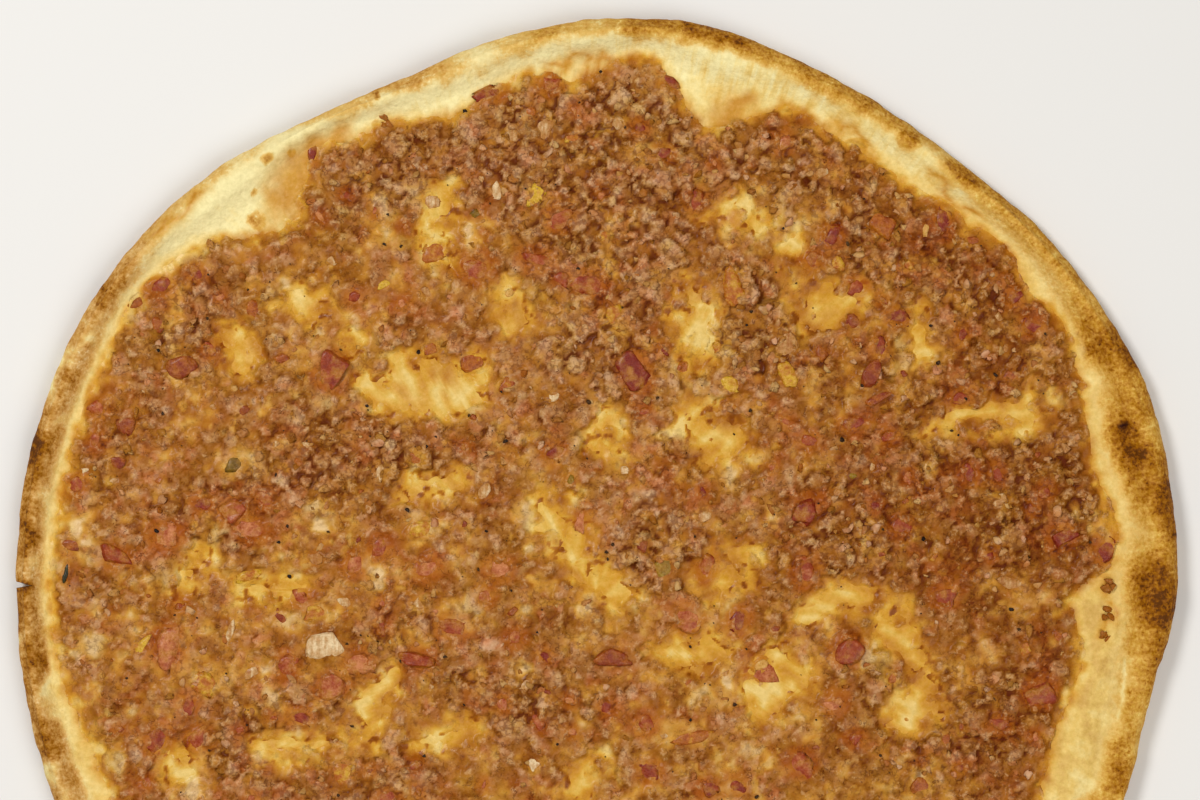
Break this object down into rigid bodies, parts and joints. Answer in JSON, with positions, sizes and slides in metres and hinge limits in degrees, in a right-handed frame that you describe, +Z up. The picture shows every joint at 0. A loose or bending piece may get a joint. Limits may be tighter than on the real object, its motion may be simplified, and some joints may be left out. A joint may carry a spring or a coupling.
{
  "type": "meat-topped flatbread, an open meat pie",
  "caption": "Thin round flatbread with a raised browned rim, baked under a layer of minced meat with tomato, pepper and onion.",
  "frame": {"origin": "middle of the footprint, on the flat underside that the pie rests on", "axes": "+Z up through the topping, +Y towards the far edge as the picture shows it, +X to the right"},
  "size_m": [0.28, 0.2786, 0.0097],
  "materials": {
    "baked_bread": "baked dough, pale yellow on the inner slope and the floor, browned on the crown",
    "minced_meat": "cooked crumbly mince with a light sheen of fat",
    "tomato_flesh": "soft cooked red dice",
    "pepper_flesh": "soft cooked orange and yellow dice",
    "onion_flesh": "translucent cooked onion"
  },
  "bodies": {
    "root": {"bread": "baked_bread", "meat_topping": "minced_meat", "onion_01": "onion_flesh", "pepper_01": "pepper_flesh", "pepper_02": "pepper_flesh", "pepper_03": "pepper_flesh", "pepper_04": "pepper_flesh", "pepper_05": "pepper_flesh", "pepper_06": "pepper_flesh", "pepper_07": "pepper_flesh", "tomato_01": "tomato_flesh", "tomato_02": "tomato_flesh", "tomato_03": "tomato_flesh", "tomato_04": "tomato_flesh", "tomato_05": "tomato_flesh", "tomato_06": "tomato_flesh", "tomato_07": "tomato_flesh", "tomato_08": "tomato_flesh", "tomato_09": "tomato_flesh", "tomato_10": "tomato_flesh", "tomato_11": "tomato_flesh", "tomato_12": "tomato_flesh"}
  },
  "joints": []
}
